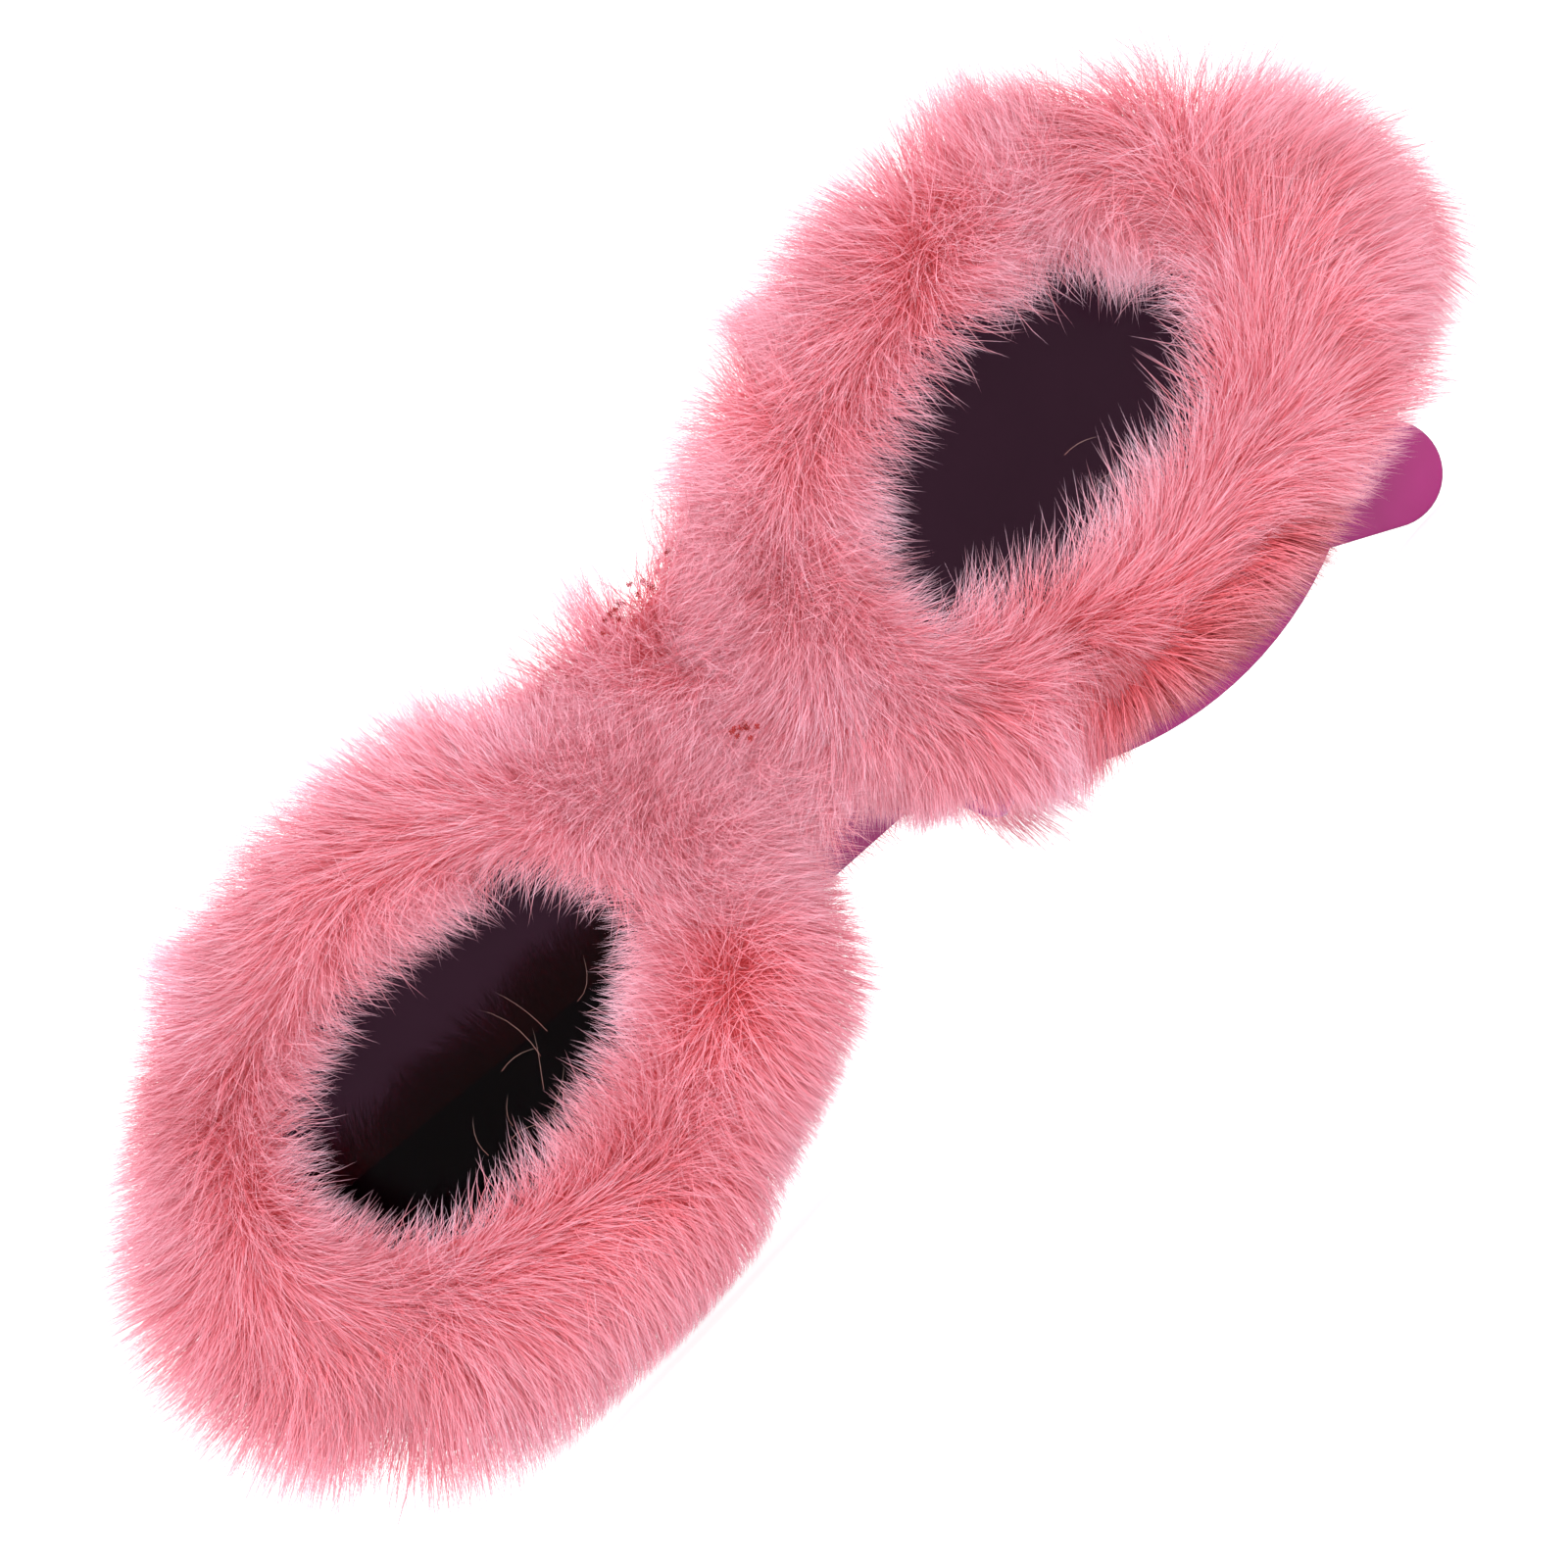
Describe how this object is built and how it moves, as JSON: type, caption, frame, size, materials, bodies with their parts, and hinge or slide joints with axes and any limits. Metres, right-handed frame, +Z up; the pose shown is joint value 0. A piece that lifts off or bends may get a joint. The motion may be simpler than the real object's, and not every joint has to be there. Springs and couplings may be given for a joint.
{
  "type": "fur covered sunglasses",
  "caption": "Fun fur-covered sunglasses with a glossy plastic frame, dark lenses and folding temples; one temple is folded and one is open.",
  "frame": {"origin": "top of the arch under the bridge, on the front face of the plastic front, level with the lens centres", "axes": "+X runs along the front to the viewer's right (the wearer's left), +Y runs back from the lenses towards the wearer, +Z is up; left and right in the names are the viewer's"},
  "size_m": [0.1555, 0.1587, 0.06],
  "materials": {
    "plastic": "gloss",
    "lens": "gloss",
    "steel": "satin",
    "fur": "matte"
  },
  "bodies": {
    "front": {"front_frame": "plastic", "lens_left": "lens", "lens_right": "lens", "front_hinge_left": "steel", "front_hinge_right": "steel", "hinge_screws": "steel", "front_fur_left": "fur", "front_fur_right": "fur"},
    "left_temple": {"temple_left": "plastic", "temple_hinge_left": "steel", "temple_fur_left": "fur"},
    "right_temple": {"temple_right": "plastic", "temple_hinge_right": "steel", "temple_fur_right": "fur"}
  },
  "joints": [
    {"name": "left_temple_open", "type": "hinge", "parent": "front", "child": "left_temple", "pos_m": [-0.0682, 0.01515, 0], "axis": [0, 0, 1], "range_deg": [0, 90]},
    {"name": "right_temple_fold", "type": "hinge", "parent": "front", "child": "right_temple", "pos_m": [0.0682, 0.01515, 0], "axis": [0, 0, 1], "range_deg": [0, 77]}
  ]
}
